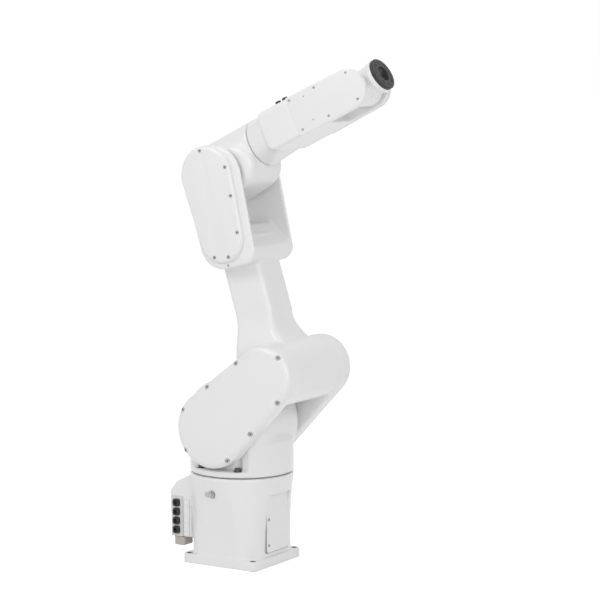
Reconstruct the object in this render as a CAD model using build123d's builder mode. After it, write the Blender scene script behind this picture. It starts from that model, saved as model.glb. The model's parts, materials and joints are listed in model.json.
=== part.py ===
# Industrial robot arm with six axes, standing in a slightly leaning pose.
# The origin is the centre of the base's underside: +X is forward, +Z is up, and -Y is the near side.
from build123d import *
import os
from math import cos, radians, sin

os.makedirs("parts", exist_ok=True)

# Mounting plate
plate_side = 184
plate_thickness = 20
plate_corner = 12
mount_pitch = 160
mount_hole = 12

# Base casting
foot_side = 172
foot_corner = 40
waist_side = 180
waist_corner = 55
waist_height = 100
turntable_diameter = 220
rim_height = 6
base_height = 192
panel_gap = 0.5

# Front cover of the base
cover_width = 80
cover_bottom = 30
cover_top = 152
cover_face = 90
cover_thickness = 6
cover_corner = 6

# Connector box behind the base
box_seat = 84
box_depth = 55
box_half_width = 70
box_bottom = 49
box_top = 181
box_slope_start = 146
box_edge = 5

# Ports on the near side of the box, and the connector under it
port_count = 4
port_pitch = 19.5
port_radius = 9.3
port_bore = 5.5
port_length = 6
port_column = -118
port_lowest = 64
panel_margin = 5
panel_thickness = 2.5
power_size = (26, 34, 19)
earth_place = (-9, 155)
earth_seat = 98
earth_radius = 6.5
earth_length = 9

# Turntable and swing housing
seam_gap = 3
running_gap = 0.3
turntable_rim = 13
column_height = 264
column_taper_height = 284
column_taper_radius = 98
shoulder_height = 296
barrel_radius = 100
barrel_edge = 26
tongue_half_width = 83
turntable_screw_circle = 97
turntable_screw_pocket = 9
turntable_screw_angle = 62

# Lower arm
plate_clearance = 5
plate_wall = 26
shoulder_radius = 82
hub_centre = (130, 414)
hub_radius = 67
tongue_clearance = 7
beam_edge = 12
beam_rear_lean = -0.308
beam_front_lean = -0.32
beam_rear_x = -12
beam_front_x = 84.6
beam_level = 600
beam_sections = ((396, 74, 22), (432, 72, 40), (480, 58, 16), (540, 45, 0), (700, 45, 0))

# Side covers of the lower arm
shoulder_cover_thickness = 13
cover_bevel = 4
elbow_cover_thickness = 9
elbow_cover_radius = 63
elbow_cover_end = (4, 694)
elbow_cover_end_radius = 54

# Elbow
elbow_centre = (-33, 820)
ear_half_gap = 70
ear_wall = 8
ear_circles = ((-33, 820, 64), (-18, 818, 66), (52, 668, 30), (0, 680, 54))
yoke_clearance = 104
yoke_floor = 716
yoke_slope_start = 26
yoke_front = 126
yoke_drop = 74
elbow_half_width = 64
elbow_hub_radius = 60
elbow_belly = (17, 838)
elbow_belly_radius = 50
elbow_edge = 18
bearing_radius = 46

# Forearm, measured along its own axis from beside the elbow's axis
forearm_pitch = 26
forearm_rise = 22
tube_radius = 52
tube_rear = -45
tube_end = 105
tube_seam = 2
forearm_flare_end = 172
forearm_half_width = 65
forearm_top = 45
forearm_bottom = -40
forearm_rear = 152
forearm_corner = 15
forearm_edge = 8
taper_start = 235
nose_half_width = 52
forearm_cover_thickness = 4
wrist_along = 369
nose_radius = 41

# Small connectors on top of the forearm
top_block = (38, 30, 6)
top_block_along = 188
top_connector_radius = 6.5
top_connector_height = 16
top_connector_pitch = 18

# Wrist and tool flange
wrist_pitch = 31
wrist_half_width = 33
fork_gap = 6.5
fork_clearance = 80
wrist_radius = 36
wrist_edge = 5
wrist_bearing_radius = 26
neck_length = 43
neck_radius = 32.5
collar_radius = 34.5
collar_length = 12
flange_gap = 0.5
flange_face = 62
flange_radius = 34
flange_rim = 2
flange_hole_circle = 50
flange_hole = 5
flange_hole_count = 4
pilot_bore = 31.5
pilot_depth = 4
flange_bearing_radius = 28

# Planes and points worked out from the sizes above
swing_bottom = base_height + seam_gap
ledge_height = swing_bottom + turntable_rim
turntable_radius = turntable_diameter / 2
shoulder_centre = (0, shoulder_height)
plate_inner = tongue_half_width + plate_clearance
plate_outer = plate_inner + plate_wall
ear_outer = ear_half_gap + ear_wall
fork_half_width = wrist_half_width + fork_gap
flange_back = neck_length + collar_length + flange_gap

forearm_direction = (cos(radians(forearm_pitch)), 0, sin(radians(forearm_pitch)))
forearm_up = (-sin(radians(forearm_pitch)), 0, cos(radians(forearm_pitch)))
forearm_origin = (
    elbow_centre[0] + forearm_rise * forearm_up[0],
    0,
    elbow_centre[1] + forearm_rise * forearm_up[2],
)
forearm_side = Plane(origin=forearm_origin, x_dir=forearm_direction, z_dir=(0, -1, 0))
forearm_plan = Plane(origin=forearm_origin, x_dir=forearm_direction, z_dir=forearm_up)
wrist_centre = forearm_side.from_local_coords((wrist_along, 0, 0))
wrist_direction = (cos(radians(wrist_pitch)), 0, sin(radians(wrist_pitch)))
wrist_side = Plane(origin=wrist_centre, x_dir=wrist_direction, z_dir=(0, -1, 0))


# A plane square to the forearm, at a distance along it
def across_forearm(along):
    centre = forearm_side.from_local_coords((along, 0, 0))
    return Plane(origin=centre, x_dir=(0, 1, 0), z_dir=forearm_direction)


# A plane square to the wrist, at a distance from the wrist's axis
def across_wrist(distance):
    centre = wrist_side.from_local_coords((distance, 0, 0))
    return Plane(origin=centre, x_dir=(0, 1, 0), z_dir=wrist_direction)


# The outline that wraps round circles given as (x, z, radius)
def wrap_circles(circles):
    for x, z, radius in circles:
        with Locations((x, z)):
            Circle(radius)
    make_hull()


# Base casting: a square foot that turns round towards the turntable
with BuildPart() as base_casting:
    with BuildSketch(Plane.XY):
        RectangleRounded(plate_side, plate_side, plate_corner)
        with GridLocations(mount_pitch, mount_pitch, 2, 2):
            Circle(mount_hole / 2, mode=Mode.SUBTRACT)
    extrude(amount=plate_thickness)
    with BuildSketch(Plane.XY.offset(plate_thickness)):
        RectangleRounded(foot_side, foot_side, foot_corner)
    with BuildSketch(Plane.XY.offset(waist_height)):
        RectangleRounded(waist_side, waist_side, waist_corner)
    with BuildSketch(Plane.XY.offset(base_height - rim_height)):
        RectangleRounded(turntable_diameter, turntable_diameter, turntable_radius - 0.1)
    loft()
    with BuildSketch(Plane.XY.offset(base_height - rim_height)):
        RectangleRounded(turntable_diameter, turntable_diameter, turntable_radius - 0.1)
    extrude(amount=rim_height)
    # seat of the front cover
    with BuildSketch(Plane.YZ.offset(cover_face - cover_thickness)):
        with Locations((0, (cover_bottom + cover_top) / 2)):
            RectangleRounded(
                cover_width + 2 * panel_gap,
                cover_top - cover_bottom + 2 * panel_gap,
                cover_corner + panel_gap,
            )
    extrude(amount=turntable_radius, mode=Mode.SUBTRACT)
    # seat of the connector box
    with BuildSketch(Plane.YZ.offset(-box_seat)):
        with Locations((0, (box_bottom + box_top) / 2)):
            Rectangle(2 * (box_half_width + panel_gap), box_top - box_bottom + 2 * panel_gap)
    extrude(amount=-turntable_radius, mode=Mode.SUBTRACT)
    # spot face of the earth boss
    with BuildSketch(Plane.XZ.offset(earth_seat)):
        with Locations(earth_place):
            Circle(earth_radius + 2)
    extrude(amount=turntable_radius, mode=Mode.SUBTRACT)
base_casting.part.label = "base_casting"
export_step(base_casting.part, "parts/base_casting.step")

with BuildPart() as base_front_cover:
    with BuildSketch(Plane.YZ.offset(cover_face - cover_thickness)):
        with Locations((0, (cover_bottom + cover_top) / 2)):
            RectangleRounded(cover_width, cover_top - cover_bottom, cover_corner)
    extrude(amount=cover_thickness)
    chamfer(base_front_cover.faces().sort_by(Axis.X)[-1].edges(), 1)
base_front_cover.part.label = "base_front_cover"
export_step(base_front_cover.part, "parts/base_front_cover.step")

# Connector box with a sloping shoulder at its rear
box_rear = -box_seat - box_depth
with BuildPart() as connector_box:
    with BuildSketch(Plane.XZ):
        with BuildLine():
            Polyline(
                (-box_seat, box_bottom),
                (box_rear + box_edge, box_bottom),
                (box_rear, box_slope_start),
                (box_rear + 17, box_slope_start + 21),
                (-box_seat - 12, box_top),
                (-box_seat, box_top),
                close=True,
            )
        make_face()
    extrude(amount=box_half_width, both=True)
    fillet(connector_box.faces().sort_by(Axis.Y)[0].edges().filter_by_position(Axis.X, box_rear - 1, -box_seat - 2), 4)
    fillet(connector_box.faces().sort_by(Axis.Y)[-1].edges().filter_by_position(Axis.X, box_rear - 1, -box_seat - 2), 4)
connector_box.part.label = "connector_box"
export_step(connector_box.part, "parts/connector_box.step")

# Port panel on the near side of the box
port_top = port_lowest + (port_count - 1) * port_pitch
panel_height = port_top - port_lowest + 2 * (port_radius + panel_margin)
with BuildPart() as port_panel:
    with BuildSketch(Plane.XZ.offset(box_half_width)):
        with Locations((port_column, (port_lowest + port_top) / 2)):
            RectangleRounded(2 * (port_radius + panel_margin), panel_height, 3)
    extrude(amount=panel_thickness)
port_panel.part.label = "port_panel"
export_step(port_panel.part, "parts/port_panel.step")

# Air ports, one above the other
port_face = box_half_width + panel_thickness
for index in range(port_count):
    port_height = port_lowest + index * port_pitch
    with BuildPart() as air_port:
        with BuildSketch(Plane.XZ.offset(port_face)):
            with Locations((port_column, port_height)):
                Circle(port_radius)
        extrude(amount=port_length)
        chamfer(air_port.faces().sort_by(Axis.Y)[0].edges(), 1)
        with BuildSketch(Plane.XZ.offset(port_face + port_length)):
            with Locations((port_column, port_height)):
                Circle(port_bore)
        extrude(amount=1 - port_length, mode=Mode.SUBTRACT)
    air_port.part.label = f"air_port_{index + 1}"
    export_step(air_port.part, f"parts/air_port_{index + 1}.step")

with BuildPart() as power_connector:
    with BuildSketch(Plane.XY.offset(box_bottom)):
        with Locations((port_column + 4, -box_half_width + power_size[1] / 2)):
            RectangleRounded(power_size[0], power_size[1], 4)
    extrude(amount=-power_size[2])
    chamfer(power_connector.faces().sort_by(Axis.Z)[0].edges(), 2)
power_connector.part.label = "power_connector"
export_step(power_connector.part, "parts/power_connector.step")

with BuildPart() as earth_boss:
    with BuildSketch(Plane.XZ.offset(earth_seat)):
        with Locations(earth_place):
            Circle(earth_radius)
    extrude(amount=earth_length)
    chamfer(earth_boss.faces().sort_by(Axis.Y)[0].edges(), 1.2)
earth_boss.part.label = "earth_boss"
export_step(earth_boss.part, "parts/earth_boss.step")

# Ring that carries the swing housing, seen as a dark line in the seam
with BuildPart() as turntable_bearing:
    with BuildSketch(Plane.XY.offset(base_height)):
        Circle(turntable_radius - 6)
        Circle(turntable_radius - 30, mode=Mode.SUBTRACT)
    extrude(amount=seam_gap - running_gap)
turntable_bearing.part.label = "turntable_bearing"
export_step(turntable_bearing.part, "parts/turntable_bearing.step")

# Swing housing: a round column under a barrel that lies across it
pocket_angles = [
    turntable_screw_angle,
    180 - turntable_screw_angle,
    180 + turntable_screw_angle,
    -turntable_screw_angle,
]
with BuildPart() as swing_housing:
    with BuildSketch(Plane.XZ):
        with BuildLine():
            Polyline(
                (0, ledge_height),
                (turntable_radius, ledge_height),
                (turntable_radius, column_height),
                (column_taper_radius, column_taper_height),
                (0, column_taper_height),
                close=True,
            )
        make_face()
    revolve(axis=Axis.Z)
    with BuildSketch(Plane.XY.offset(ledge_height)):
        Rectangle(3 * turntable_radius, 2 * tongue_half_width)
    extrude(amount=column_taper_height, mode=Mode.INTERSECT)
    with BuildSketch(Plane.XY.offset(swing_bottom)):
        Circle(turntable_radius)
    extrude(amount=turntable_rim)
    with BuildPart(mode=Mode.PRIVATE) as barrel:
        with BuildSketch(Plane.XZ):
            with Locations(shoulder_centre):
                Circle(barrel_radius)
        extrude(amount=tongue_half_width, both=True)
        fillet(barrel.edges().filter_by(GeomType.CIRCLE), barrel_edge)
        with BuildSketch(Plane.XY.offset(ledge_height)):
            Rectangle(3 * turntable_radius, 2 * tongue_half_width)
        extrude(amount=2 * barrel_radius, mode=Mode.INTERSECT)
    add(barrel.part)
    for angle in pocket_angles:
        with BuildSketch(Plane.XY.offset(ledge_height - 5)):
            with Locations(
                (
                    turntable_screw_circle * cos(radians(angle)),
                    turntable_screw_circle * sin(radians(angle)),
                )
            ):
                Circle(turntable_screw_pocket)
        extrude(amount=32, mode=Mode.SUBTRACT)
swing_housing.part.label = "swing_housing"
export_step(swing_housing.part, "parts/swing_housing.step")

# Bearings of the shoulder, one on each end of the barrel
for side, name in ((-1, "shoulder_bearing_near"), (1, "shoulder_bearing_far")):
    with BuildPart() as shoulder_bearing:
        with BuildSketch(Plane.XZ.offset(-side * tongue_half_width)):
            with Locations(shoulder_centre):
                Circle(barrel_radius - barrel_edge - 4)
        extrude(amount=-side * (plate_clearance - running_gap))
    shoulder_bearing.part.label = name
    export_step(shoulder_bearing.part, f"parts/{name}.step")

# Lower arm: one casting, with two plates at the shoulder, a round hub between them at the front,
# a beam that leans back, and two ears that hold the elbow
shoulder_circles = ((*shoulder_centre, shoulder_radius), (*hub_centre, hub_radius))
with BuildPart() as lower_arm_casting:
    with BuildSketch(Plane.XZ.offset(plate_inner)):
        wrap_circles(shoulder_circles)
    extrude(amount=plate_wall)
    fillet(lower_arm_casting.faces().sort_by(Axis.Y)[0].edges(), 3)
    mirror(about=Plane.XZ)
    with BuildSketch(Plane.XZ):
        with Locations(hub_centre):
            Circle(hub_radius - 2)
    extrude(amount=plate_outer - 4, both=True)
    with BuildPart(mode=Mode.PRIVATE) as beam:
        for first, last in ((0, 3), (3, 4)):
            for level, half_width, swell in beam_sections[first : last + 1]:
                rear = beam_rear_x + beam_rear_lean * (level - beam_level) - swell / 4
                front = beam_front_x + beam_front_lean * (level - beam_level) + swell
                with BuildSketch(Plane.XY.offset(level)):
                    with Locations(((rear + front) / 2, 0)):
                        RectangleRounded(front - rear, 2 * half_width, beam_edge)
            loft()
    add(beam.part)
    with BuildPart(mode=Mode.PRIVATE) as yoke:
        with BuildSketch(Plane.XZ):
            wrap_circles(ear_circles)
        extrude(amount=ear_outer, both=True)
        fillet(yoke.faces().sort_by(Axis.Y)[0].edges(), 5)
        fillet(yoke.faces().sort_by(Axis.Y)[-1].edges(), 5)
        with BuildSketch(Plane.XZ):
            with Locations(elbow_centre):
                Circle(yoke_clearance)
            Polygon(
                (elbow_centre[0], yoke_floor),
                (elbow_centre[0], elbow_centre[1]),
                (yoke_front, elbow_centre[1]),
                (yoke_front, yoke_floor - yoke_drop),
                (yoke_slope_start, yoke_floor),
                align=None,
            )
        extrude(amount=ear_half_gap, both=True, mode=Mode.SUBTRACT)
    add(yoke.part)
    with BuildSketch(Plane.XZ):
        with Locations(shoulder_centre):
            Circle(barrel_radius + tongue_clearance)
    extrude(amount=plate_inner, both=True, mode=Mode.SUBTRACT)
lower_arm_casting.part.label = "lower_arm_casting"
export_step(lower_arm_casting.part, "parts/lower_arm_casting.step")

# Covers of the lower arm, a large pair at the shoulder and a small pair at the elbow
elbow_cover_circles = (
    (*elbow_centre, elbow_cover_radius),
    (*elbow_cover_end, elbow_cover_end_radius),
)
for side, end in ((-1, "near"), (1, "far")):
    with BuildPart() as shoulder_cover:
        with BuildSketch(Plane.XZ.offset(-side * plate_outer)):
            wrap_circles(shoulder_circles)
        extrude(amount=-side * shoulder_cover_thickness)
        chamfer(shoulder_cover.faces().sort_by(Axis.Y)[0 if side < 0 else -1].edges(), cover_bevel)
    shoulder_cover.part.label = f"shoulder_cover_{end}"
    export_step(shoulder_cover.part, f"parts/shoulder_cover_{end}.step")
    with BuildPart() as elbow_cover:
        with BuildSketch(Plane.XZ.offset(-side * ear_outer)):
            wrap_circles(elbow_cover_circles)
        extrude(amount=-side * elbow_cover_thickness)
        chamfer(elbow_cover.faces().sort_by(Axis.Y)[0 if side < 0 else -1].edges(), cover_bevel - 1)
    elbow_cover.part.label = f"elbow_cover_{end}"
    export_step(elbow_cover.part, f"parts/elbow_cover_{end}.step")
    with BuildPart() as elbow_bearing:
        with BuildSketch(Plane.XZ.offset(-side * ear_half_gap)):
            with Locations(elbow_centre):
                Circle(bearing_radius)
        extrude(amount=side * (ear_half_gap - elbow_half_width - running_gap))
    elbow_bearing.part.label = f"elbow_bearing_{end}"
    export_step(elbow_bearing.part, f"parts/elbow_bearing_{end}.step")

# Elbow housing: a barrel between the ears, a round belly before it and a tube along the forearm
elbow_circles = ((*elbow_centre, elbow_hub_radius), (*elbow_belly, elbow_belly_radius))
with BuildPart() as elbow_housing:
    with BuildSketch(Plane.XZ):
        wrap_circles(elbow_circles)
    extrude(amount=elbow_half_width, both=True)
    fillet(elbow_housing.faces().sort_by(Axis.Y)[0].edges(), elbow_edge)
    fillet(elbow_housing.faces().sort_by(Axis.Y)[-1].edges(), elbow_edge)
    with BuildPart(mode=Mode.PRIVATE) as tube:
        with BuildSketch(across_forearm(tube_rear)):
            Circle(tube_radius)
        extrude(amount=tube_end - tube_rear)
        fillet(tube.faces().sort_by(Axis.X)[0].edges(), elbow_edge)
    add(tube.part)
    split(bisect_by=across_forearm(tube_end), keep=Keep.BOTTOM)
elbow_housing.part.label = "elbow_housing"
export_step(elbow_housing.part, "parts/elbow_housing.step")

# Ring on which the forearm turns, seen as a dark line in its seam
with BuildPart() as forearm_bearing:
    with BuildSketch(across_forearm(tube_end)):
        Circle(tube_radius - 4)
        Circle(tube_radius - 16, mode=Mode.SUBTRACT)
    extrude(amount=tube_seam - running_gap)
forearm_bearing.part.label = "forearm_bearing"
export_step(forearm_bearing.part, "parts/forearm_bearing.step")

# Side outline of the forearm: flat above and below, and round at the nose
def forearm_outline():
    corner = forearm_corner
    wrap_circles(
        (
            (forearm_rear + corner, forearm_top - corner, corner),
            (forearm_rear + corner, forearm_bottom + corner, corner),
            (wrist_along, 0, nose_radius),
        )
    )


# Plan outline from the start of the taper to past the nose, at a half width on each end
def taper_outline(rear_half_width, nose_half_width):
    end = wrist_along + nose_radius + 2
    Polygon(
        (taper_start, rear_half_width),
        (end, nose_half_width),
        (end, -nose_half_width),
        (taper_start, -rear_half_width),
        align=None,
    )


casting_half_width = forearm_half_width - forearm_cover_thickness
casting_nose = nose_half_width - forearm_cover_thickness
forearm_reach = wrist_along + nose_radius

# Forearm housing: round at the seam, then a box with two cheeks that hold the wrist
with BuildPart() as forearm_housing:
    with BuildSketch(forearm_side):
        forearm_outline()
    extrude(amount=forearm_half_width, both=True)
    fillet(forearm_housing.faces().sort_by(Axis.Y)[0].edges(), forearm_edge)
    fillet(forearm_housing.faces().sort_by(Axis.Y)[-1].edges(), forearm_edge)
    with BuildPart(mode=Mode.PRIVATE) as nose_room:
        with BuildSketch(forearm_plan):
            Polygon(
                (taper_start, -2 * forearm_half_width),
                (2 * forearm_reach, -2 * forearm_half_width),
                (2 * forearm_reach, 2 * forearm_half_width),
                (taper_start, 2 * forearm_half_width),
                align=None,
            )
        extrude(amount=2 * forearm_half_width, both=True)
        with BuildSketch(forearm_plan):
            taper_outline(casting_half_width, casting_nose)
        extrude(amount=2 * forearm_half_width, both=True, mode=Mode.SUBTRACT)
    add(nose_room.part, mode=Mode.SUBTRACT)
    with BuildPart(mode=Mode.PRIVATE) as flare:
        with BuildSketch(across_forearm(tube_end + tube_seam)):
            RectangleRounded(2 * tube_radius, 2 * tube_radius, tube_radius - 0.1)
        with BuildSketch(across_forearm(forearm_flare_end)):
            with Locations((0, (forearm_top + forearm_bottom) / 2)):
                RectangleRounded(
                    2 * forearm_half_width - 4,
                    forearm_top - forearm_bottom - 3,
                    2 * forearm_corner,
                )
        loft()
    add(flare.part)
    with BuildSketch(forearm_side):
        with Locations((wrist_along, 0)):
            Circle(fork_clearance)
    extrude(amount=fork_half_width, both=True, mode=Mode.SUBTRACT)
forearm_housing.part.label = "forearm_housing"
export_step(forearm_housing.part, "parts/forearm_housing.step")

# Forearm covers, one on each tapering side, and the bearings of the wrist inside the cheeks
for side, end in ((-1, "near"), (1, "far")):
    with BuildPart() as forearm_cover:
        with BuildSketch(forearm_side):
            forearm_outline()
        extrude(amount=-side * forearm_half_width)
        with BuildPart(mode=Mode.PRIVATE) as side_room:
            with BuildSketch(forearm_plan):
                taper_outline(forearm_half_width, nose_half_width)
            extrude(amount=2 * forearm_half_width, both=True)
            with BuildSketch(forearm_plan):
                taper_outline(casting_half_width, casting_nose)
            extrude(amount=2 * forearm_half_width, both=True, mode=Mode.SUBTRACT)
        add(side_room.part, mode=Mode.INTERSECT)
    forearm_cover.part.label = f"forearm_cover_{end}"
    export_step(forearm_cover.part, f"parts/forearm_cover_{end}.step")
    with BuildPart() as wrist_bearing:
        with BuildSketch(forearm_side.offset(-side * fork_half_width)):
            with Locations((wrist_along, 0)):
                Circle(wrist_bearing_radius)
        extrude(amount=side * (fork_gap - running_gap))
    wrist_bearing.part.label = f"wrist_bearing_{end}"
    export_step(wrist_bearing.part, f"parts/wrist_bearing_{end}.step")

# Small connectors on a block on top of the forearm
with BuildPart() as top_connector_block:
    with BuildSketch(forearm_plan.offset(forearm_top)):
        with Locations((top_block_along, 0)):
            RectangleRounded(top_block[0], top_block[1], 3)
    extrude(amount=top_block[2])
top_connector_block.part.label = "top_connector_block"
export_step(top_connector_block.part, "parts/top_connector_block.step")

for index, offset in enumerate((-top_connector_pitch / 2, top_connector_pitch / 2)):
    with BuildPart() as top_connector:
        with BuildSketch(forearm_plan.offset(forearm_top + top_block[2])):
            with Locations((top_block_along + offset, 0)):
                Circle(top_connector_radius)
        extrude(amount=top_connector_height)
        chamfer(top_connector.faces().sort_by(Axis.Z)[-1].edges(), 1)
    top_connector.part.label = f"top_connector_{index + 1}"
    export_step(top_connector.part, f"parts/top_connector_{index + 1}.step")

# Wrist housing: a disc in the fork with a short neck
with BuildPart() as wrist_housing:
    with BuildSketch(wrist_side):
        Circle(wrist_radius)
    extrude(amount=wrist_half_width, both=True)
    fillet(wrist_housing.edges().filter_by(GeomType.CIRCLE), wrist_edge)
    with BuildSketch(across_wrist(0)):
        Circle(neck_radius)
    extrude(amount=neck_length)
wrist_housing.part.label = "wrist_housing"
export_step(wrist_housing.part, "parts/wrist_housing.step")

with BuildPart() as wrist_collar:
    with BuildSketch(across_wrist(neck_length)):
        Circle(collar_radius)
    extrude(amount=collar_length - flange_gap)
    chamfer(wrist_collar.faces().sort_by(Axis.X)[0].edges(), 1)
wrist_collar.part.label = "wrist_collar"
export_step(wrist_collar.part, "parts/wrist_collar.step")

with BuildPart() as flange_bearing:
    with BuildSketch(across_wrist(neck_length + collar_length - flange_gap)):
        Circle(flange_bearing_radius)
    extrude(amount=2 * flange_gap - running_gap)
flange_bearing.part.label = "flange_bearing"
export_step(flange_bearing.part, "parts/flange_bearing.step")

# Tool flange: a black disc with a pilot bore and a circle of threaded holes
with BuildPart() as tool_flange:
    with BuildSketch(across_wrist(flange_back)):
        Circle(flange_radius)
    extrude(amount=flange_face - flange_back)
    chamfer(tool_flange.faces().sort_by(Axis((0, 0, 0), wrist_direction))[-1].edges(), 1)
    with BuildSketch(across_wrist(flange_face)):
        Circle(pilot_bore / 2)
    extrude(amount=-pilot_depth, mode=Mode.SUBTRACT)
    with BuildSketch(across_wrist(flange_face)):
        with PolarLocations(flange_hole_circle / 2, flange_hole_count, 45):
            Circle(flange_hole / 2)
    extrude(amount=flange_back - flange_face, mode=Mode.SUBTRACT)
tool_flange.part.label = "tool_flange"
export_step(tool_flange.part, "parts/tool_flange.step")
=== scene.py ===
# White six-axis industrial robot arm: soft castings, screws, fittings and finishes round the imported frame
import json
import math
import bpy
import bmesh
from mathutils import Matrix, Vector


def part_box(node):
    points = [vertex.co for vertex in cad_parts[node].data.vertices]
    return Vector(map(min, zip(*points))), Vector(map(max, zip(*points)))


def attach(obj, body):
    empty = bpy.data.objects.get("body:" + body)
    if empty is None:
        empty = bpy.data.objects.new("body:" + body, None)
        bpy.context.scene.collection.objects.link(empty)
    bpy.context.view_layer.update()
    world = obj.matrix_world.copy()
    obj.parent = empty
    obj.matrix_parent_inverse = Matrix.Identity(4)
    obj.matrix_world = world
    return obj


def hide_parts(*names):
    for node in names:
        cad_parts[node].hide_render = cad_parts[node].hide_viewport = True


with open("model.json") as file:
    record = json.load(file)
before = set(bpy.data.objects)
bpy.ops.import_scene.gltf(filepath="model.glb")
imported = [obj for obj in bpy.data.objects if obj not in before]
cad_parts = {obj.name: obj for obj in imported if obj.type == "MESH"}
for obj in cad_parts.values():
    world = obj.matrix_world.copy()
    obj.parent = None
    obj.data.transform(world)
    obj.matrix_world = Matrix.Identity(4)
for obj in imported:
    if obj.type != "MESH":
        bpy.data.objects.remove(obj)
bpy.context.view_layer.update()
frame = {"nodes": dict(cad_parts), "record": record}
mm = 0.001
weldDistance = 0.00001
sideEnds = ((-1, "near"), (1, "far"))
slotOf = {row["node"]: row["material_slot"] for row in frame["record"]["subparts"]}
bodyOf = {node: body for body, nodes in frame["record"]["behaviour"]["bodies"].items() for node in nodes}
print("frame loaded,", len(frame["nodes"]), "nodes")

whiteRayKinds = ("Is Camera Ray", "Is Glossy Ray", "Is Transmission Ray")


class Wire:
    def __init__(self, finish, socket):
        self.finish = finish
        self.socket = socket

    def maths(self, operation, first, second):
        return self.finish.node("ShaderNodeMath", {"operation": operation}, {0: first, 1: second})

    def __add__(self, other):
        return self.maths("ADD", self, other)

    def __radd__(self, other):
        return self.maths("ADD", other, self)

    def __sub__(self, other):
        return self.maths("SUBTRACT", self, other)

    def __rsub__(self, other):
        return self.maths("SUBTRACT", other, self)

    def __mul__(self, other):
        return self.maths("MULTIPLY", self, other)

    def __rmul__(self, other):
        return self.maths("MULTIPLY", other, self)


class Finish:
    def __init__(self, owner, shader):
        owner.use_nodes = True
        self.owner = owner
        self.tree = owner.node_tree
        self.shader = self.tree.nodes[shader]

    def node(self, kind, settings, inputs, output=0):
        made = self.tree.nodes.new(kind)
        for key, value in settings.items():
            setattr(made, key, value)
        for key, value in inputs.items():
            self.feed(made.inputs[key], value)
        return Wire(self, made.outputs[output])

    def feed(self, socket, value):
        if isinstance(value, Wire):
            self.tree.links.new(value.socket, socket)
        else:
            socket.default_value = value

    def set(self, key, value):
        self.feed(self.shader.inputs[key], value)

    # 1 for the rays that should see the backdrop as white
    def whiteRays(self):
        rays = [self.node("ShaderNodeLightPath", {}, {}, kind) for kind in whiteRayKinds]
        return self.node("ShaderNodeMath", {"operation": "MINIMUM"}, {0: rays[0] + rays[1] + rays[2], 1: 1.0})


# Socket numbers of the mix node when it mixes colours
mixSockets = {"factor": 0, "first": 6, "second": 7, "result": 2}
coatRoughness = 0.15


# One recipe for every surface: a faint mottle in colour and gloss, and a fine grain in the normal
def surfaceFinish(name, look):
    finish = Finish(bpy.data.materials.new(name), "Principled BSDF")
    place = finish.node("ShaderNodeTexCoord", {}, {}, "Object")
    mottleInputs = {"Vector": place, "Scale": look["mottleScale"], "Detail": 4.0, "Roughness": 0.55}
    mottle = finish.node("ShaderNodeTexNoise", {}, mottleInputs)
    grainInputs = {"Vector": place, "Scale": look["grainScale"], "Detail": 2.0}
    grain = finish.node("ShaderNodeTexNoise", {}, grainInputs)
    colourInputs = {
        mixSockets["factor"]: mottle,
        mixSockets["first"]: (*look["colour"], 1),
        mixSockets["second"]: (*look["shade"], 1),
    }
    colour = finish.node("ShaderNodeMix", {"data_type": "RGBA"}, colourInputs, mixSockets["result"])
    bumpInputs = {"Strength": look["grainStrength"], "Distance": look["grainDepth"], "Height": grain}
    bump = finish.node("ShaderNodeBump", {}, bumpInputs)
    finish.set("Base Color", colour)
    finish.set("Roughness", look["roughness"] + (mottle - 0.5) * look["roughnessSpread"])
    finish.set("Metallic", look["metallic"])
    finish.set("Coat Weight", look["coat"])
    finish.set("Coat Roughness", coatRoughness)
    finish.set("Normal", bump)
    return finish.owner


whitePaint = {
    "colour": (0.83, 0.83, 0.83),
    "shade": (0.80, 0.80, 0.80),
    "mottleScale": 9.0,
    "grainScale": 420.0,
    "grainStrength": 0.12,
    "grainDepth": 0.0003,
    "roughness": 0.34,
    "roughnessSpread": 0.10,
    "metallic": 0.0,
    "coat": 0.25,
}
matteBlack = {
    "colour": (0.012, 0.012, 0.013),
    "shade": (0.022, 0.022, 0.022),
    "mottleScale": 60.0,
    "grainScale": 1500.0,
    "grainStrength": 0.25,
    "grainDepth": 0.0002,
    "roughness": 0.5,
    "roughnessSpread": 0.2,
    "metallic": 0.0,
    "coat": 0.0,
}
looks = {
    "white_paint": whitePaint,
    "black_plastic": matteBlack,
    "grey_plastic": {
        **whitePaint,
        "colour": (0.70, 0.70, 0.70),
        "shade": (0.66, 0.66, 0.66),
        "coat": 0.0,
        "roughness": 0.5,
    },
    "bright_metal": {
        **matteBlack,
        "colour": (0.55, 0.54, 0.50),
        "shade": (0.46, 0.45, 0.42),
        "metallic": 1.0,
        "roughness": 0.32,
    },
    "seal_rubber": {
        **matteBlack,
        "colour": (0.36, 0.36, 0.36),
        "shade": (0.30, 0.30, 0.30),
        "roughness": 0.7,
    },
    "black_metal": {**matteBlack, "grainScale": 900.0},
    "screw_steel": {
        **matteBlack,
        "colour": (0.50, 0.50, 0.50),
        "shade": (0.40, 0.40, 0.40),
        "metallic": 0.7,
        "roughness": 0.4,
    },
    "dark_steel": {
        **matteBlack,
        "colour": (0.12, 0.12, 0.12),
        "shade": (0.08, 0.08, 0.08),
        "metallic": 0.6,
        "roughness": 0.45,
    },
    "beige_shell": {
        **whitePaint,
        "colour": (0.52, 0.47, 0.42),
        "shade": (0.46, 0.42, 0.38),
        "coat": 0.0,
        "roughness": 0.5,
    },
}
finishes = {name: surfaceFinish(name, look) for name, look in looks.items()}
print("finishes made")

# Angle in degrees above which an edge shows as sharp
sharpFrom = {"casting": 60, "edged": 32, "fitting": 40, "earth": 30}


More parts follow.
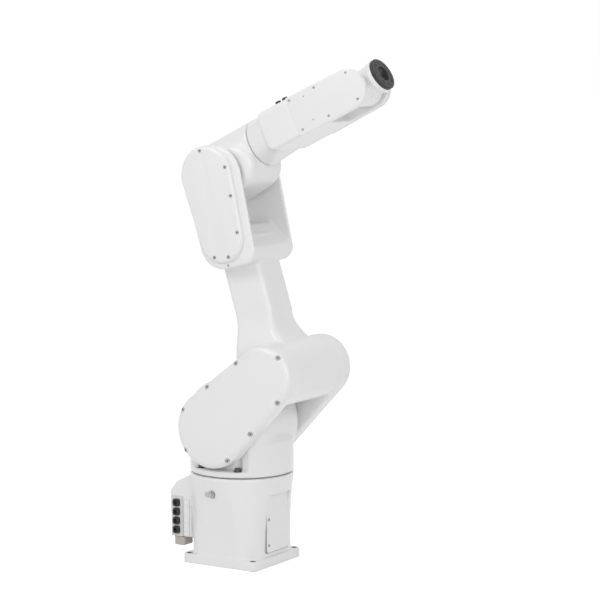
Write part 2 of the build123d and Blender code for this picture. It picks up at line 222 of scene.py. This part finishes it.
# A finished piece: its mesh holds its place, its object sits at the origin
def pieceFrom(bm, name, body, finish, smoothAngle):
    bmesh.ops.recalc_face_normals(bm, faces=bm.faces)
    mesh = bpy.data.meshes.new(name)
    bm.to_mesh(mesh)
    bm.free()
    return pieceOf(mesh, name, body, finish, smoothAngle)


def pieceOf(mesh, name, body, finish, smoothAngle):
    mesh.materials.clear()
    mesh.materials.append(finishes[finish])
    for face in mesh.polygons:
        face.use_smooth = True
    mesh.set_sharp_from_angle(angle=math.radians(smoothAngle))
    piece = bpy.data.objects.new(name, mesh)
    bpy.context.scene.collection.objects.link(piece)
    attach(piece, body)
    return piece


def mergedCopy(*nodes):
    bm = bmesh.new()
    for node in nodes:
        bm.from_mesh(frame["nodes"][node].data)
    bmesh.ops.remove_doubles(bm, verts=bm.verts, dist=weldDistance)
    return bm


def withModifiers(bm, name, addModifiers):
    mesh = bpy.data.meshes.new(name)
    bm.to_mesh(mesh)
    bm.free()
    holder = bpy.data.objects.new(name, mesh)
    bpy.context.scene.collection.objects.link(holder)
    addModifiers(holder)
    shaped = bpy.data.meshes.new_from_object(holder.evaluated_get(bpy.context.evaluated_depsgraph_get()))
    bpy.data.objects.remove(holder)
    return shaped


# Castings: voxels (in mm) and smoothing give every edge the soft fillet of a painted casting
castings = {
    "base_soft": {"nodes": ["base_casting", "connector_box"], "voxel": 2.0, "rounds": 9},
    "swing_soft": {"nodes": ["swing_housing"], "voxel": 2.2, "rounds": 7},
    "lower_arm_soft": {"nodes": ["lower_arm_casting"], "voxel": 2.8, "rounds": 9},
    "elbow_soft": {"nodes": ["elbow_housing"], "voxel": 2.0, "rounds": 9},
    "forearm_soft": {"nodes": ["forearm_housing"], "voxel": 2.0, "rounds": 7},
    "wrist_soft": {"nodes": ["wrist_housing"], "voxel": 1.5, "rounds": 6},
}


def softCasting(name, style):
    def shape(holder):
        remesh = holder.modifiers.new("voxels", "REMESH")
        remesh.mode = "VOXEL"
        remesh.voxel_size = style["voxel"] * mm
        smooth = holder.modifiers.new("fillet", "SMOOTH")
        smooth.factor = 0.5
        smooth.iterations = style["rounds"]

    mesh = withModifiers(mergedCopy(*style["nodes"]), name, shape)
    first = style["nodes"][0]
    piece = pieceOf(mesh, name, bodyOf[first], slotOf[first], sharpFrom["casting"])
    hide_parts(*style["nodes"])


for name, style in castings.items():
    softCasting(name, style)
print("castings softened")


# Each loop is a list of points in mm, bridged to the next. The first and the last loop are always closed,
# so a profile that comes back to its first height gets a disc across its opening
def loftMesh(loops):
    bm = bmesh.new()
    edgeLoops = []
    for points in loops:
        verts = bmesh.ops.create_circle(bm, cap_ends=False, segments=len(points), radius=1)["verts"]
        for vert, point in zip(verts, points):
            vert.co = Vector(point) * mm
        edgeLoops.append(list({edge for vert in verts for edge in vert.link_edges}))
    for first, second in zip(edgeLoops, edgeLoops[1:]):
        bmesh.ops.bridge_loops(bm, edges=first + second)
    for loop in (edgeLoops[0], edgeLoops[-1]):
        bmesh.ops.contextual_create(bm, geom=loop)
    bmesh.ops.recalc_face_normals(bm, faces=bm.faces)
    mesh = bpy.data.meshes.new("loft")
    bm.to_mesh(mesh)
    bm.free()
    return mesh


# A ring is (radius, height) in mm, or (radius, height, corners) for a polygon,
# or (radius, height, 0, power) with a power below 1 for a rounded square
def ringPoints(radius, height, corners=0, power=1.0, sides=48):
    points = []
    for step in range(sides):
        angle = 2 * math.pi * step / sides
        reach = radius
        if corners:
            part = math.pi / corners
            reach = radius * math.cos(part) / math.cos(angle % (2 * part) - part)
        c, s = math.cos(angle), math.sin(angle)
        x, y = math.copysign(abs(c) ** power, c), math.copysign(abs(s) ** power, s)
        points.append((reach * x, reach * y, height))
    return points


def ringMesh(rings, sides=48):
    return loftMesh([ringPoints(*ring, sides=sides) for ring in rings])


# Puts a copy of a mesh into bm with its Z axis turned outward
def addCopy(bm, mesh, place, outward, size=1.0):
    copy = mesh.copy()
    turn = Vector((0, 0, 1)).rotation_difference(Vector(outward)).to_matrix().to_4x4()
    copy.transform(Matrix.Translation(Vector(place) * mm) @ turn @ Matrix.Scale(size, 4))
    bm.from_mesh(copy)
    bpy.data.meshes.remove(copy)


def addBlock(bm, low, high):
    size = [(high[i] - low[i]) * mm for i in range(3)]
    centre = [(high[i] + low[i]) / 2 * mm for i in range(3)]
    bmesh.ops.create_cube(bm, size=1, matrix=Matrix.Translation(centre) @ Matrix.Diagonal((*size, 1)))


def copySet(name, body, mesh, places, outward, finish, size=1.0):
    bm = bmesh.new()
    for place in places:
        addCopy(bm, mesh, place, outward, size)
    return pieceFrom(bm, name, body, finish, sharpFrom["fitting"])


# Socket screw, its head standing on z = 0
screw = {"radius": 3.6, "height": 3.2, "socket": 1.8, "depth": 1.1, "edge": 0.6, "edgeShare": 0.3}
screwEasing = screw["edge"] * screw["edgeShare"]
screwMesh = ringMesh(
    [
        (screw["radius"], 0),
        (screw["radius"], screw["height"] - screw["edge"]),
        (screw["radius"] - screwEasing, screw["height"] - screwEasing),
        (screw["radius"] - screw["edge"], screw["height"]),
        (screw["socket"], screw["height"], 6),
        (screw["socket"], screw["height"] - screw["depth"], 6),
    ],
    sides=24,
)


def screwSet(name, body, places, outward, size=1.0):
    return copySet(name, body, screwMesh, places, outward, "screw_steel", size)


# Round pegs that cut the notches in the side covers' rims
def pegCutter(places, outward, radius, depth):
    bm = bmesh.new()
    peg = ringMesh([(radius, -depth), (radius, depth)], sides=32)
    for place in places:
        addCopy(bm, peg, place, outward)
    mesh = bpy.data.meshes.new("pegs")
    bm.to_mesh(mesh)
    bm.free()
    cutter = bpy.data.objects.new("pegs", mesh)
    bpy.context.scene.collection.objects.link(cutter)
    return cutter


edgeBevel = {"segments": 3, "angle": 28}


# A piece that stands for a node: cut by pegs, then its edges rounded
def edgedPiece(bm, node, width, finish, cutters=()):
    def shape(holder):
        for cutter in cutters:
            cut = holder.modifiers.new("cut", "BOOLEAN")
            cut.operation = "DIFFERENCE"
            cut.solver = "EXACT"
            cut.object = cutter
        bevel = holder.modifiers.new("edge", "BEVEL")
        bevel.width = width * mm
        bevel.segments = edgeBevel["segments"]
        bevel.limit_method = "ANGLE"
        bevel.angle_limit = math.radians(edgeBevel["angle"])

    mesh = withModifiers(bm, node + "_edged", shape)
    for cutter in cutters:
        bpy.data.objects.remove(cutter)
    piece = pieceOf(mesh, node + "_edged", bodyOf[node], finish, sharpFrom["edged"])
    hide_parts(node)


def fromMesh(mesh):
    bm = bmesh.new()
    bm.from_mesh(mesh)
    return bm


def between(first, second, share):
    return first + (second - first) * share


# Outline that wraps two circles, moved in by inset, as points round it
def eggOutline(egg, inset, level, steps=48):
    (x1, z1), (x2, z2) = egg["first"], egg["second"]
    r1, r2 = egg["firstRadius"], egg["secondRadius"]
    aim = math.atan2(z2 - z1, x2 - x1)
    spread = math.acos((r1 - r2) / math.hypot(x2 - x1, z2 - z1))
    points = []
    for step in range(steps + 1):
        angle = aim + spread + (2 * math.pi - 2 * spread) * step / steps
        points.append((x1 + (r1 - inset) * math.cos(angle), level, z1 + (r1 - inset) * math.sin(angle)))
    for step in range(steps + 1):
        angle = aim - spread + 2 * spread * step / steps
        points.append((x2 + (r2 - inset) * math.cos(angle), level, z2 + (r2 - inset) * math.sin(angle)))
    return points


# Side covers: a flat face, a wide soft rim as (level, inset), and a notch in the rim at each screw,
# given by marks as (share of the way from the first circle to the second, angle)
elbowAxis = (-33, 820)
shoulderCover = {
    "stem": "shoulder_cover_",
    "egg": {"first": (0, 296), "firstRadius": 82, "second": (130, 414), "secondRadius": 67},
    "profile": [(111, 0.5), (116, 0.3), (119.5, 1.2), (122.4, 3.4), (124.8, 6.6), (126.4, 10.2), (127, 14)],
    "marks": [(1, -51), (0.47, -53), (0, -53), (0, -141), (0, 150), (0.36, 137), (0.87, 137), (1, 49)],
    "inset": 6.0,
    "seat": 120.6,
    "notch": 6.0,
    "edge": 0.5,
    "screwSize": 1.0,
}
elbowCover = {
    "stem": "elbow_cover_",
    "egg": {"first": elbowAxis, "firstRadius": 63, "second": (4, 694), "secondRadius": 54},
    "profile": [(76, 0.5), (80, 0.3), (82.8, 1.2), (84.9, 3.0), (86.3, 5.4), (87, 8.4)],
    "marks": [(0, 104), (0, 22), (0.4, 14), (0.95, 8), (1, -62), (1, -108)],
    "inset": 9.5,
    "seat": 84.6,
    "notch": 4.0,
    "edge": 0.5,
    "screwSize": 0.85,
}


def coverSpots(cover):
    egg = cover["egg"]
    spots = []
    for share, angle in cover["marks"]:
        turn = math.radians(angle)
        reach = between(egg["firstRadius"], egg["secondRadius"], share) - cover["inset"]
        x = between(egg["first"][0], egg["second"][0], share) + reach * math.cos(turn)
        z = between(egg["first"][1], egg["second"][1], share) + reach * math.sin(turn)
        spots.append((x, z))
    return spots


def sideCovers(cover):
    spots = coverSpots(cover)
    top = cover["profile"][-1][0]
    for side, end in sideEnds:
        node = cover["stem"] + end
        outward = (0, side, 0)
        mesh = loftMesh([eggOutline(cover["egg"], inset, side * level) for level, inset in cover["profile"]])
        notches = [(x, side * top, z) for x, z in spots]
        pegs = pegCutter(notches, outward, cover["notch"], top - cover["seat"])
        edgedPiece(fromMesh(mesh), node, cover["edge"], slotOf[node], [pegs])
        seats = [(x, side * cover["seat"], z) for x, z in spots]
        screwSet(node + "_screws", bodyOf[node], seats, outward, cover["screwSize"])


sideCovers(shoulderCover)
sideCovers(elbowCover)
lipScrew = {"x": 19, "z": 636, "level": 76.4, "size": 0.7}
for side, end in sideEnds:
    place = (lipScrew["x"], side * lipScrew["level"], lipScrew["z"])
    screwSet("elbow_lip_screw_" + end, "lower_arm", [place], (0, side, 0), lipScrew["size"])
print("side covers and their screws made")

# Other crisp nodes keep their form and get rounded edges, of these widths in mm
edgeRounds = {
    "base_front_cover": 1.2,
    "port_panel": 0.8,
    "forearm_cover_near": 1.0,
    "forearm_cover_far": 1.0,
    "top_connector_block": 0.8,
    "wrist_collar": 1.0,
}
flatAngle = 0.6


def roundedNode(node, width, finish):
    bm = mergedCopy(node)
    bmesh.ops.dissolve_limit(bm, angle_limit=math.radians(flatAngle), verts=bm.verts, edges=bm.edges)
    edgedPiece(bm, node, width, finish)


for node, width in edgeRounds.items():
    roundedNode(node, width, slotOf[node])
print("crisp nodes rounded")

# Forearm frame: along its axis, across it (up), and the taper of its side covers
forearm = {
    "rise": 22,
    "pitch": math.radians(26),
    "screws": [(242, 36), (304, 36), (381, 32), (246, -30), (311, -30), (384, -27)],
    "screwProud": -2.0,
    "screwSize": 0.85,
    "plugs": [(276, -22), (275, 30)],
    "plugProud": -1.2,
    "plugSize": 0.5,
    "taperStart": 235,
    "taperEnd": 412,
    "rearHalf": 65,
    "noseHalf": 52,
}
forearmAlong = Vector((math.cos(forearm["pitch"]), 0, math.sin(forearm["pitch"])))
forearmUp = Vector((-math.sin(forearm["pitch"]), 0, math.cos(forearm["pitch"])))
forearmX = elbowAxis[0] - forearm["rise"] * math.sin(forearm["pitch"])
forearmZ = elbowAxis[1] + forearm["rise"] * math.cos(forearm["pitch"])


def forearmPoint(along, across, side, proud):
    share = (along - forearm["taperStart"]) / (forearm["taperEnd"] - forearm["taperStart"])
    half = between(forearm["rearHalf"], forearm["noseHalf"], share) + proud
    return Vector((forearmX, side * half, forearmZ)) + forearmAlong * along + forearmUp * across


taper = math.atan((forearm["rearHalf"] - forearm["noseHalf"]) / (forearm["taperEnd"] - forearm["taperStart"]))
for side, end in sideEnds:
    outward = forearmAlong * math.sin(taper) + Vector((0, side * math.cos(taper), 0))
    places = [forearmPoint(along, across, side, forearm["screwProud"]) for along, across in forearm["screws"]]
    screwSet("forearm_cover_" + end + "_screws", "forearm", places, outward, forearm["screwSize"])
    places = [forearmPoint(along, across, side, forearm["plugProud"]) for along, across in forearm["plugs"]]
    screwSet("forearm_cover_" + end + "_plugs", "forearm", places, outward, forearm["plugSize"])

# Base: the front cover's screws, and a dark strip of painted shade in the seam round it, both sunk under the
# cover's face
frontCover = {
    "face": 90,
    "sunk": 1.8,
    "screwY": -35,
    "screwLevels": (46, 101),
    "screwSize": 0.95,
    "halfWidth": 40,
    "low": 30,
    "high": 152,
    "seam": 1.0,
    "seamDepth": 5,
}
front = frontCover["face"] - frontCover["sunk"]
places = [(front, frontCover["screwY"], level) for level in frontCover["screwLevels"]]
screwSet("base_front_cover_screws", "base", places, (1, 0, 0), frontCover["screwSize"])
bm = bmesh.new()
inner, seam = frontCover["halfWidth"], frontCover["seam"]
low, high = frontCover["low"], frontCover["high"]
back = frontCover["face"] - frontCover["seamDepth"]
for side in (-1, 1):
    edges = sorted((side * inner, side * (inner + seam)))
    addBlock(bm, (back, edges[0], low - seam), (front, edges[1], high + seam))
addBlock(bm, (back, -inner, low - seam), (front, inner, low))
addBlock(bm, (back, -inner, high), (front, inner, high + seam))
# Painted shade: the strip's dark rubber colour stands in for the shadow inside the gap round the cover
pieceFrom(bm, "base_front_cover_seam_shade", "base", "seal_rubber", sharpFrom["fitting"])

# Tall turntable screws standing in their pockets
turntable = {"circle": 97, "angle": 62, "level": 203}
places = []
for angle in (turntable["angle"], 180 - turntable["angle"], 180 + turntable["angle"], -turntable["angle"]):
    c, s = math.cos(math.radians(angle)), math.sin(math.radians(angle))
    places.append((turntable["circle"] * c, turntable["circle"] * s, turntable["level"]))
tallScrewMesh = ringMesh([(6.3, 0), (6.3, 10.2), (5.6, 11.0), (3.4, 11.0, 6), (3.4, 6.0, 6)], sides=24)
copySet("turntable_screws", "swing", tallScrewMesh, places, (0, 0, 1), "dark_steel")

# Mounting holes: a bare metal lining inside the painted plate, made dark as painted shade for the inside of
# each hole. Its profile comes back to the low end, so here the loft's discs close the bottom of each hole,
# which is open in the CAD, as dark sheets of painted shade
shadeLining = {"offset": 80, "outer": 6.1, "inner": 5.7, "low": 0.4, "high": 19.6}
shadeLiningMesh = ringMesh(
    [
        (shadeLining["outer"], shadeLining["low"]),
        (shadeLining["outer"], shadeLining["high"]),
        (shadeLining["inner"], shadeLining["high"]),
        (shadeLining["inner"], shadeLining["low"]),
    ],
    sides=32,
)
offsets = (-shadeLining["offset"], shadeLining["offset"])
places = [(x, y, 0) for x in offsets for y in offsets]
# Partly painted shade: the lining's dark steel and its closing discs stand in for the shade inside each hole
copySet("mount_hole_shade_lining", "base", shadeLiningMesh, places, (0, 0, 1), "dark_steel")

# Connector box: four black push-in ports in a row, a ribbed rail beside them, a beige plug below
portMesh = ringMesh(
    [
        (7.9, 0, 0, 0.45),
        (7.9, 5.2, 0, 0.45),
        (7.5, 5.9, 0, 0.48),
        (6.6, 6.0),
        (6.3, 6.5),
        (5.3, 6.5),
        (4.8, 5.9),
        (4.2, 2.0),
    ]
)
ports = {"x": -118, "y": -72, "levels": (64, 83.5, 103, 122.5)}
for index, level in enumerate(ports["levels"]):
    node = "air_port_%d" % (index + 1)
    place = (ports["x"], ports["y"], level)
    piece = copySet(node + "_body", "base", portMesh, [place], (0, -1, 0), "black_plastic")
    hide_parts(node)
rail = {
    "low": (-99, -74.5, 52),
    "high": (-87, -69, 130),
    "ribs": 9,
    "ribDepth": 0.8,
    "ribShare": 0.3,
    "endMargin": 4,
    "sideMargin": 2,
    "edge": 0.5,
}
bm = bmesh.new()
addBlock(bm, rail["low"], rail["high"])
pitch = (rail["high"][2] - rail["low"][2] - 2 * rail["endMargin"]) / rail["ribs"]
halfRib = pitch * rail["ribShare"]
for index in range(rail["ribs"]):
    level = rail["low"][2] + rail["endMargin"] + pitch * (index + 0.5)
    lowCorner = (rail["low"][0] + rail["sideMargin"], rail["low"][1] - rail["ribDepth"], level - halfRib)
    highCorner = (rail["high"][0] - rail["sideMargin"], rail["low"][1], level + halfRib)
    addBlock(bm, lowCorner, highCorner)
bmesh.ops.bevel(
    bm,
    geom=bm.edges[:],
    offset=rail["edge"] * mm,
    offset_type="OFFSET",
    segments=2,
    profile=0.5,
    affect="EDGES",
    material=-1,
)
pieceFrom(bm, "port_rail", "base", "white_paint", sharpFrom["fitting"])
roundedNode("power_connector", 1.5, "beige_shell")

# Earth point: a washer, a hexagon nut and its stud, with a lug under the nut
earthMesh = ringMesh(
    [
        (8.4, 0),
        (8.4, 1.2),
        (7.9, 1.7),
        (6.6, 1.7, 6),
        (6.6, 6.0, 6),
        (5.6, 6.6),
        (3.0, 6.6),
        (3.0, 8.8),
        (2.5, 9.2),
    ]
)
earth = {"place": (-9, -97.5, 155), "lugLow": (-26, -101.5, 149.5), "lugHigh": (-9, -97.0, 160.5)}
bm = bmesh.new()
addCopy(bm, earthMesh, earth["place"], (0, -1, 0))
addBlock(bm, earth["lugLow"], earth["lugHigh"])
piece = pieceFrom(bm, "earth_point", "base", "screw_steel", sharpFrom["earth"])
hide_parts("earth_boss")

# Top connectors: low knurled caps on the forearm's back, standing capDrop under the nodes' centres
capMesh = ringMesh(
    [
        (4.6, 0),
        (4.6, 5.0),
        (6.2, 5.4, 12),
        (6.2, 10.0, 12),
        (5.6, 10.8),
        (4.3, 10.8),
        (4.0, 9.6),
        (1.6, 9.6),
    ]
)
capDrop = 8
for index in (1, 2):
    node = "top_connector_%d" % index
    lowCorner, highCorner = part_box(node)
    centre = (Vector(lowCorner) + Vector(highCorner)) / 2 / mm
    foot = centre - forearmUp * capDrop
    piece = copySet(node + "_cap", "forearm", capMesh, [foot], forearmUp, "black_plastic")
    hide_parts(node)

# Tool flange: the node with rounded edges, a hub with six small screws, and two raised rings.
# The rings' profile is (step outward, level). It comes back to its foot, so the loft's discs lie
# across the opening of each ring, in front of the hub and its screws
flange = {
    "reach": 369,
    "pitch": math.radians(31),
    "edge": 0.5,
    "screwCircle": 12,
    "screwSeat": 58.8,
    "screwSize": 0.5,
    "ringRadii": (19.0, 30.2),
    "ringProfile": [(0, 61.6), (0, 62.1), (0.25, 62.2), (0.75, 62.2), (1, 62.1), (1, 61.6)],
}
flangeAxis = Vector((math.cos(flange["pitch"]), 0, math.sin(flange["pitch"])))
flangeUp = Vector((-math.sin(flange["pitch"]), 0, math.cos(flange["pitch"])))
wristCentre = Vector((forearmX, 0, forearmZ)) + forearmAlong * flange["reach"]
hubMesh = ringMesh(
    [
        (15.0, 57.6),
        (15.0, 58.2),
        (14.6, 58.8),
        (9.2, 58.8),
        (8.8, 58.0),
        (5.4, 58.0),
        (5.0, 59.4),
        (3.2, 59.4),
        (3.0, 58.0),
    ],
    sides=72,
)
edgedPiece(mergedCopy("tool_flange"), "tool_flange", flange["edge"], "black_metal")
copySet("flange_hub", "flange", hubMesh, [wristCentre], flangeAxis, "dark_steel")
bm = bmesh.new()
for radius in flange["ringRadii"]:
    ring = ringMesh([(radius + step, level) for step, level in flange["ringProfile"]])
    addCopy(bm, ring, wristCentre, flangeAxis)
pieceFrom(bm, "flange_rings", "flange", "dark_steel", sharpFrom["fitting"])
places = []
for angle in range(0, 360, 60):
    radius, turn = flange["screwCircle"], math.radians(angle)
    sideways = Vector((0, radius * math.cos(turn), 0)) + flangeUp * radius * math.sin(turn)
    places.append(wristCentre + flangeAxis * flange["screwSeat"] + sideways)
screwSet("flange_screws", "flange", places, flangeAxis, flange["screwSize"])
print("fittings made")

# Finishes for the nodes that keep their own form
for name, node in frame["nodes"].items():
    node.data.materials.clear()
    node.data.materials.append(finishes[slotOf[name]])

# Floor, backdrop and light. Rays that see the backdrop as white also see the floor glow,
# except under the plate
studio = {
    "floorSize": 60.0,
    "floorColour": (0.86, 0.86, 0.86),
    "floorRoughness": 0.9,
    "floorGlow": 0.5,
    "world": 0.58,
    "plateHalf": 0.09,
}
bm = bmesh.new()
bmesh.ops.create_grid(bm, x_segments=1, y_segments=1, size=studio["floorSize"] / 2)
floorMesh = bpy.data.meshes.new("floor")
bm.to_mesh(floorMesh)
bm.free()
floor = bpy.data.objects.new("floor", floorMesh)
bpy.context.scene.collection.objects.link(floor)
floorFinish = Finish(bpy.data.materials.new("paleFloor"), "Principled BSDF")
floorFinish.set("Base Color", (*studio["floorColour"], 1))
floorFinish.set("Roughness", studio["floorRoughness"])
spot = floorFinish.node("ShaderNodeTexCoord", {}, {}, "Object")
underPlate = 1.0
for axis in ("X", "Y"):
    reach = floorFinish.node("ShaderNodeSeparateXYZ", {}, {0: spot}, axis)
    compared = {0: reach, 1: 0.0, 2: studio["plateHalf"]}
    within = floorFinish.node("ShaderNodeMath", {"operation": "COMPARE"}, compared)
    underPlate = underPlate * within
floorFinish.set("Emission Color", (1, 1, 1, 1))
floorFinish.set("Emission Strength", floorFinish.whiteRays() * (1.0 - underPlate) * studio["floorGlow"])
floorMesh.materials.append(floorFinish.owner)

world = bpy.data.worlds.new("studio")
bpy.context.scene.world = world
sky = Finish(world, "Background")
sky.set("Color", (1, 1, 1, 1))
sky.set("Strength", sky.whiteRays() * (1.0 - studio["world"]) + studio["world"])

lamps = {
    "keyLamp": {"place": (-0.9, -2.1, 2.4), "size": 1.4, "power": 20},
    "topLamp": {"place": (0.6, 0.6, 4.0), "size": 2.5, "power": 12},
    "fillLamp": {"place": (2.6, -1.9, 1.5), "size": 2.2, "power": 26},
}
lampAim = (0, 0, 0.6)
for name, setting in lamps.items():
    lamp = bpy.data.lights.new(name, "AREA")
    lamp.shape = "DISK"
    lamp.size = setting["size"]
    lamp.energy = setting["power"]
    lampObject = bpy.data.objects.new(name, lamp)
    lampObject.location = setting["place"]
    towards = Vector(lampAim) - Vector(setting["place"])
    lampObject.rotation_euler = towards.to_track_quat("-Z", "Y").to_euler()
    bpy.context.scene.collection.objects.link(lampObject)

view = {
    "sensor": 36,
    "lens": 139.96,
    "farthest": 200,
    "place": (2.68664, -4.07347, 1.11656),
    "turn": 31.96,
    "down": 6.56,
}
camera = bpy.data.cameras.new("camera")
camera.sensor_width = view["sensor"]
camera.lens = view["lens"]
camera.clip_end = view["farthest"]
cameraObject = bpy.data.objects.new("camera", camera)
cameraObject.location = view["place"]
cameraObject.rotation_euler = (math.radians(90 - view["down"]), 0, math.radians(view["turn"]))
bpy.context.scene.collection.objects.link(cameraObject)
bpy.context.scene.camera = cameraObject
bpy.context.scene.view_settings.view_transform = "Standard"
print("studio ready")
